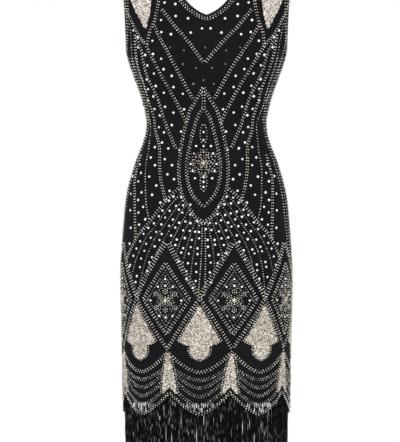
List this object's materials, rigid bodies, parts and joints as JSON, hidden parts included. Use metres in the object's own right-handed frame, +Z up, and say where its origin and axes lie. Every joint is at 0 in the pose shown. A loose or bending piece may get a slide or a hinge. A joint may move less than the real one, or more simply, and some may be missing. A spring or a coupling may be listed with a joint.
{
  "type": "flapper dress",
  "caption": "Sleeveless V-neck beaded sheath dress, hollow and filled out as worn, with a scalloped hem over long fringe.",
  "frame": {"origin": "midway between the two points where the shoulder seams meet the neck, where the wearer's shoulders hold the dress", "axes": "+Z up along the wearer's height, -Y the way the front faces, +X the wearer's left"},
  "size_m": [0.3554, 0.2609, 1.1057],
  "materials": {
    "cloth": "matte black stretch mesh",
    "binding": "black folded band",
    "fringe": "glossy black strands",
    "sequins": "champagne sequins",
    "beads": "champagne seed beads",
    "studs": "pearly white cut stones"
  },
  "bodies": {
    "root": {"front": "cloth", "back": "cloth", "neck_binding": "binding", "armhole_binding_right": "binding", "armhole_binding_left": "binding", "fringe_front": "fringe", "fringe_back": "fringe", "leaf_patch_right": "sequins", "leaf_patch_left": "sequins", "spade_patch_1": "sequins", "spade_patch_2": "sequins", "spade_patch_3": "sequins", "spade_patch_4": "sequins", "spade_patch_5": "sequins", "spade_patch_6": "sequins", "spade_patch_7": "sequins", "spade_patch_8": "sequins", "tail_patch_1": "sequins", "tail_patch_2": "sequins", "tail_patch_3": "sequins", "tail_patch_4": "sequins", "tail_patch_5": "sequins", "tail_patch_6": "sequins", "tail_patch_7": "sequins", "tail_patch_8": "sequins"}
  },
  "joints": []
}
